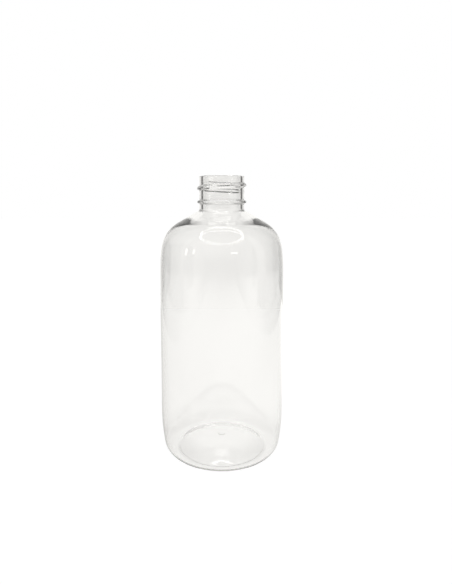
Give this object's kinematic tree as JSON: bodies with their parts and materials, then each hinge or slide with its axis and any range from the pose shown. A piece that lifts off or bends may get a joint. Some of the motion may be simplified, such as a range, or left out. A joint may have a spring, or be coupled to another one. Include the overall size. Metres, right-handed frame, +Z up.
{
  "type": "plastic bottle",
  "caption": "Clear round PET bottle with rounded shoulders, a push-up base and a threaded neck, empty and without its closure.",
  "frame": {"origin": "centre of the flat ring that the bottle stands on", "axes": "+Z up along the bottle's axis and out of its mouth, -Y towards the side seen in the picture, +X to the viewer's right"},
  "size_m": [0.0604, 0.0604, 0.136],
  "materials": {
    "clear_pet": "clear, as blown against a polished mould"
  },
  "bodies": {
    "root": {"bottle": "clear_pet"}
  },
  "joints": []
}
